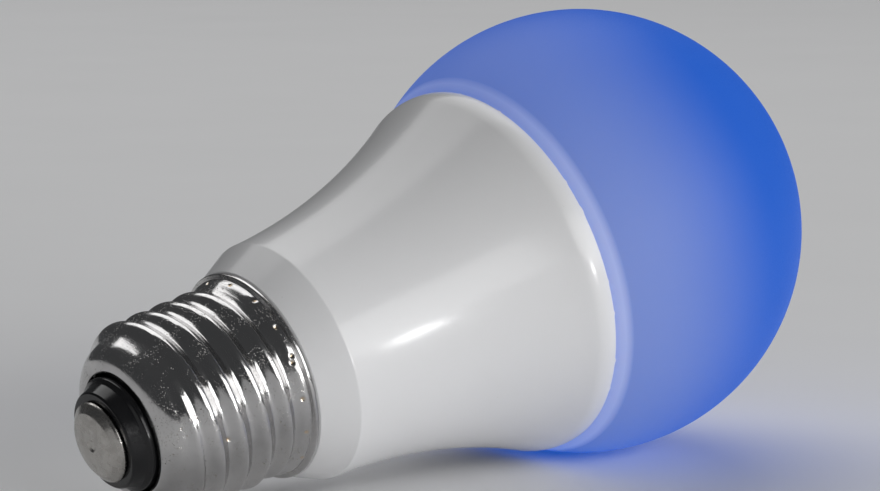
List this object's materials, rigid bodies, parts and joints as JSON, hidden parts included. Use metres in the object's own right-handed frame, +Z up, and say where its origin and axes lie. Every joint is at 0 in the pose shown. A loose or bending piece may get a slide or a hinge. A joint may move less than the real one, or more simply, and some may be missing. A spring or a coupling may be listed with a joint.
{
  "type": "smart light bulb",
  "caption": "Connected colour-changing light bulb: frosted ball diffuser, flared white housing and E27 screw cap, with its lamp board, radio and driver inside.",
  "frame": {"origin": "centre of the footprint on the surface that the bulb lies on, directly under the middle of its box", "axes": "+X from the screw cap towards the globe, +Z up; the bulb's own axis lies in the XZ plane and rises about 14.3 degrees towards +X, as it does when the globe and the thread both touch the surface"},
  "size_m": [0.1112, 0.0616, 0.0616],
  "materials": {
    "frosted_diffuser": "frosted translucent plastic, lit blue from inside, satin",
    "silicone": "cured silicone bead",
    "white_housing": "smooth moulded white, satin gloss",
    "nickel_cap": "bright nickel plate with fine pitting",
    "black_insulator": "smooth black moulding",
    "aluminium": "drawn aluminium, satin",
    "thermal_pad": "soft grey pad",
    "lamp_board": "white solder mask on an aluminium core",
    "white_leds": "yellow phosphor window in a white package",
    "colour_leds": "clear window in a white package",
    "steel": "zinc-plated steel",
    "white_plastic": "moulded connector plastic",
    "black_plastic": "moulded black package",
    "circuit_board": "green solder mask on glass laminate",
    "capacitor_sleeve": "dark shrink sleeve on a can",
    "ferrite": "sintered ferrite",
    "winding_tape": "yellow polyester tape over a winding",
    "copper_winding": "enamelled copper wire",
    "varistor_coat": "dipped blue coating",
    "film_capacitor": "red moulded box",
    "resistor_coat": "green cement coating",
    "black_wire": "insulated wire",
    "white_wire": "insulated wire"
  },
  "bodies": {
    "root": {"diffuser_globe": "frosted_diffuser", "diffuser_seal": "silicone", "outer_housing": "white_housing", "screw_shell": "nickel_cap", "centre_contact": "nickel_cap", "base_insulator": "black_insulator", "heat_sink_cup": "aluminium", "thermal_pad": "thermal_pad", "led_board": "lamp_board", "white_led_01": "white_leds", "white_led_02": "white_leds", "white_led_03": "white_leds", "white_led_04": "white_leds", "white_led_05": "white_leds", "white_led_06": "white_leds", "white_led_07": "white_leds", "white_led_08": "white_leds", "white_led_09": "white_leds", "white_led_10": "white_leds", "white_led_11": "white_leds", "white_led_12": "white_leds", "colour_led_1": "colour_leds", "colour_led_2": "colour_leds", "colour_led_3": "colour_leds", "colour_led_4": "colour_leds", "board_screw_1": "steel", "board_screw_2": "steel", "board_screw_3": "steel", "wifi_shield_can": "steel", "led_socket": "white_plastic", "led_pin_header": "black_plastic", "bridge_rectifier": "black_plastic", "driver_ic": "black_plastic", "flyback_diode": "black_plastic", "wifi_board": "circuit_board", "driver_board": "circuit_board", "input_capacitor": "capacitor_sleeve", "output_capacitor": "capacitor_sleeve", "transformer_core": "ferrite", "transformer_winding": "winding_tape", "filter_inductor": "copper_winding", "varistor": "varistor_coat", "film_capacitor": "film_capacitor", "fuse_resistor": "resistor_coat", "live_lead": "black_wire", "neutral_lead": "white_wire"}
  },
  "joints": []
}
